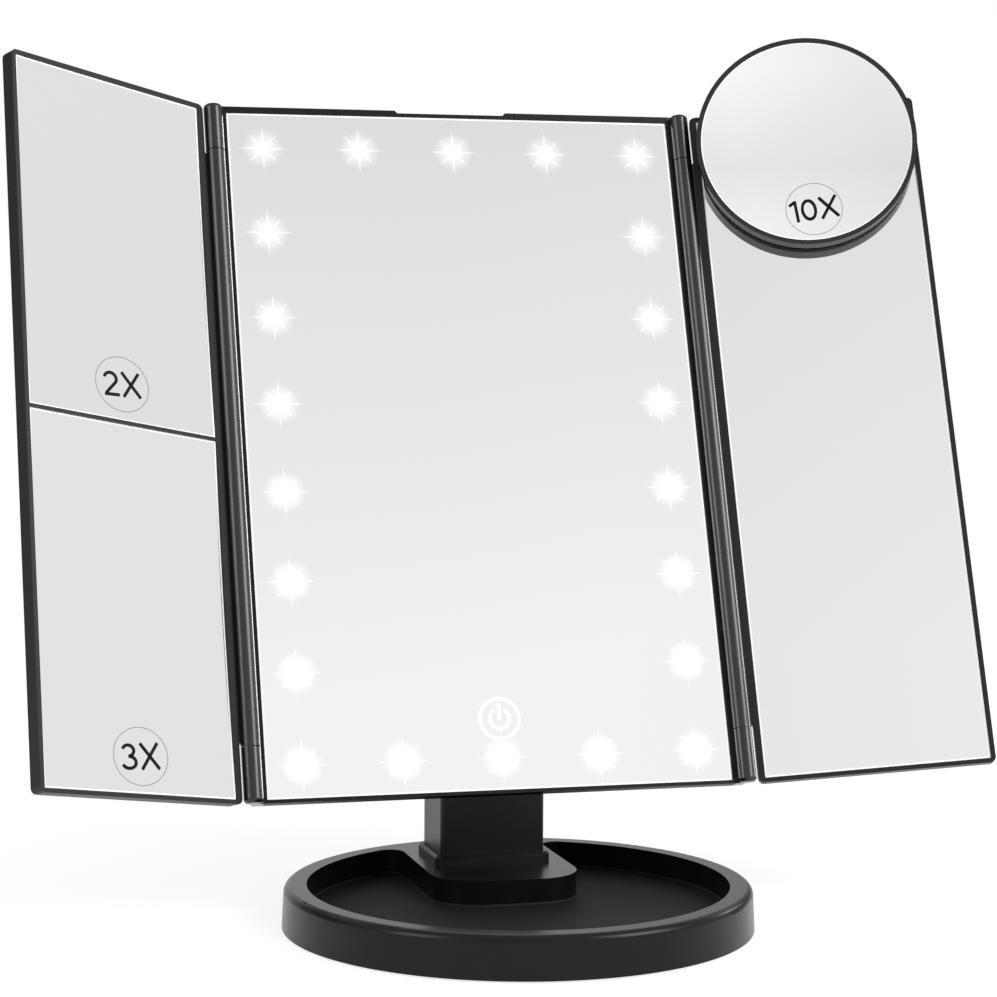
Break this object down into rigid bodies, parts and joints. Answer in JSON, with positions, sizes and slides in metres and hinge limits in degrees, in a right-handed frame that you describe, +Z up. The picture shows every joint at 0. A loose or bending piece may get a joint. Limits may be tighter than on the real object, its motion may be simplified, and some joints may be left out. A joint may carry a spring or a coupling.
{
  "type": "trifold vanity mirror",
  "caption": "Tabletop trifold makeup mirror: lit centre panel tilting on a round tray base, two folding wings and a round clip-on magnifier.",
  "frame": {"origin": "middle of the round base's underside, on the table", "axes": "+X to the user's right along the panels, -Y towards the user, +Z up"},
  "size_m": [0.3277, 0.1807, 0.2998],
  "materials": {
    "black_abs": "fine satin moulding texture",
    "silvered_glass": "polished, silvered at the back",
    "foam_pad": "matte EVA foam",
    "galvanised_steel": "zinc plated",
    "screw_steel": "black zinc",
    "pin_steel": "bright turned",
    "frosted_acrylic": "frosted white",
    "white_board": "white solder mask",
    "green_board": "green solder mask",
    "led_phosphor": "yellow phosphor",
    "copper_pad": "tinned copper",
    "nickel_shell": "nickel plated",
    "switch_nylon": "moulded",
    "battery_jacket": "printed sleeve",
    "washer_nylon": "natural nylon",
    "foam_tape": "white foam",
    "clear_rubber": "clear PVC"
  },
  "bodies": {
    "base": {"anti_slip_pad": "foam_pad", "base_plate": "galvanised_steel", "base_plate_screws": "screw_steel", "base_dish": "black_abs", "neck_post": "black_abs", "neck_back_cover": "black_abs", "neck_cover_screw": "screw_steel", "neck_screws": "screw_steel"},
    "centre_panel": {"centre_front_frame": "black_abs", "centre_mirror": "silvered_glass", "centre_back_housing": "black_abs", "panel_screws": "screw_steel", "light_diffuser": "frosted_acrylic", "led_board": "white_board", "leds": "led_phosphor", "touch_sensor": "copper_pad", "control_board": "green_board", "charging_socket": "nickel_shell", "switch_body": "switch_nylon", "batteries": "battery_jacket", "battery_springs": "nickel_shell", "battery_contacts": "nickel_shell", "left_hinge_pins": "pin_steel", "right_hinge_pins": "pin_steel", "tilt_bolt": "pin_steel", "tilt_nut": "pin_steel", "friction_washers": "washer_nylon", "tilt_bracket": "black_abs", "bracket_screws": "screw_steel"},
    "left_wing": {"left_wing_frame": "black_abs", "left_wing_back": "black_abs", "left_wing_tape": "foam_tape", "left_lower_mirror": "silvered_glass", "left_upper_mirror": "silvered_glass"},
    "right_wing": {"right_wing_frame": "black_abs", "right_wing_back": "black_abs", "right_wing_tape": "foam_tape", "right_mirror": "silvered_glass"},
    "magnifier": {"magnifier_cup": "black_abs", "magnifier_mirror": "silvered_glass", "suction_cups": "clear_rubber"},
    "battery_door": {"battery_door": "black_abs"},
    "power_switch": {"power_switch_knob": "black_abs"}
  },
  "joints": [
    {"name": "panel_tilt", "type": "hinge", "parent": "base", "child": "centre_panel", "pos_m": [0, 0.0445, 0.0555], "axis": [-1, 0, 0], "range_deg": [-8, 70.8]},
    {"name": "left_wing_fold", "type": "hinge", "parent": "centre_panel", "child": "left_wing", "pos_m": [-0.085, 0.05463, 0.15574], "axis": [0, 0.3289, 0.9444], "range_deg": [-31.9, 148.1]},
    {"name": "right_wing_fold", "type": "hinge", "parent": "centre_panel", "child": "right_wing", "pos_m": [0.085, 0.05463, 0.15574], "axis": [0, -0.3289, -0.9444], "range_deg": [-17.5, 80]},
    {"name": "magnifier_pull_off", "type": "slide", "parent": "right_wing", "child": "magnifier", "axis": [-0.3007, -0.9007, 0.3136], "range_m": [0, 0.025]},
    {"name": "battery_door_slide", "type": "slide", "parent": "centre_panel", "child": "battery_door", "axis": [0, -0.3289, -0.9444], "range_m": [0, 0.03]},
    {"name": "power_switch_slide", "type": "slide", "parent": "centre_panel", "child": "power_switch", "axis": [0, 0.3289, 0.9444], "range_m": [0, 0.003]}
  ]
}
